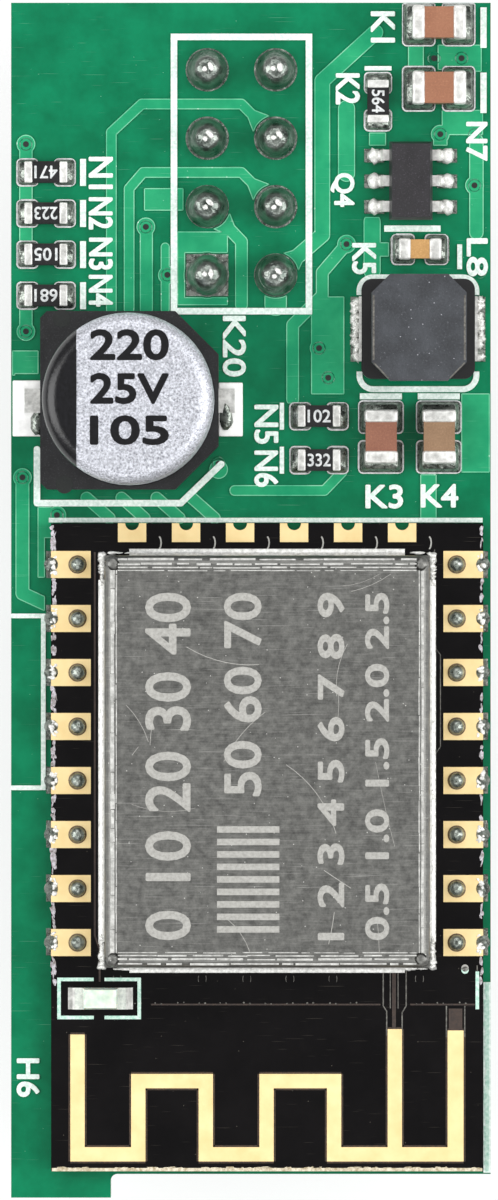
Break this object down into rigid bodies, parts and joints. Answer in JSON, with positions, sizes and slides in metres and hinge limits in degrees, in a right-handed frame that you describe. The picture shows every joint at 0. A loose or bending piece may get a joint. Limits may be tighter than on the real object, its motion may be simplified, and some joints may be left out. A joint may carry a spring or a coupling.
{
  "type": "wifi module",
  "caption": "Shielded radio board with castellated edges and a printed antenna, on a small carrier with a step-down supply and a two-row pin header.",
  "frame": {"origin": "middle of the pin header, on the face of its insulator that seats on the socket", "axes": "+X to the right and +Y towards the header end, seen from the parts side, +Z out of the parts side; the pins point along -Z"},
  "size_m": [0.0179, 0.0444, 0.0156],
  "materials": {
    "mask_green": "glossy solder mask",
    "mask_green_copper": "glossy mask over copper",
    "mask_black": "satin black solder mask",
    "gold_plating": "thin gold plating",
    "solder": "bright reflowed solder",
    "tin": "tinned",
    "ink_white": "printed ink",
    "ink_black": "printed ink",
    "black_plastic": "moulded, fine grain",
    "can_aluminium": "drawn, satin",
    "ferrite": "sintered, ground",
    "copper_wire": "enamelled copper",
    "resin": "filled resin",
    "ceramic": "fired ceramic",
    "resistor_black": "glass film",
    "shield_metal": "brushed, scratched",
    "lens": "clear moulded",
    "board_white": "white laminate"
  },
  "bodies": {
    "root": {"carrier_board": "mask_green", "carrier_tracks": "mask_green_copper", "carrier_lands": "gold_plating", "carrier_legend": "ink_white", "header_insulator": "black_plastic", "header_pins": "gold_plating", "header_solder": "solder", "capacitor_base": "black_plastic", "capacitor_can": "can_aluminium", "capacitor_mark": "ink_black", "capacitor_leads": "tin", "inductor_core": "ferrite", "inductor_winding": "copper_wire", "inductor_coating": "resin", "inductor_terminals": "tin", "regulator_body": "black_plastic", "regulator_leads": "tin", "ceramic_1_body": "ceramic", "ceramic_1_ends": "tin", "ceramic_2_body": "ceramic", "ceramic_2_ends": "tin", "ceramic_3_body": "ceramic", "ceramic_3_ends": "tin", "ceramic_4_body": "ceramic", "ceramic_4_ends": "tin", "ceramic_5_body": "ceramic", "ceramic_5_ends": "tin", "resistor_1_body": "resistor_black", "resistor_1_ends": "tin", "resistor_2_body": "resistor_black", "resistor_2_ends": "tin", "resistor_3_body": "resistor_black", "resistor_3_ends": "tin", "resistor_4_body": "resistor_black", "resistor_4_ends": "tin", "resistor_5_body": "resistor_black", "resistor_5_ends": "tin", "resistor_6_body": "resistor_black", "resistor_6_ends": "tin", "resistor_7_body": "resistor_black", "resistor_7_ends": "tin", "chip_solder": "solder", "module_board": "mask_black", "module_pads": "gold_plating", "module_legend": "ink_white", "antenna_track": "gold_plating", "edge_solder": "solder", "pad_solder": "solder", "shield_can": "shield_metal", "shield_solder": "solder", "radio_chip": "black_plastic", "radio_chip_contacts": "gold_plating", "memory_chip": "black_plastic", "memory_chip_leads": "tin", "crystal": "tin", "matching_parts": "ceramic", "led_base": "board_white", "led_lens": "lens", "led_ends": "gold_plating"}
  },
  "joints": []
}
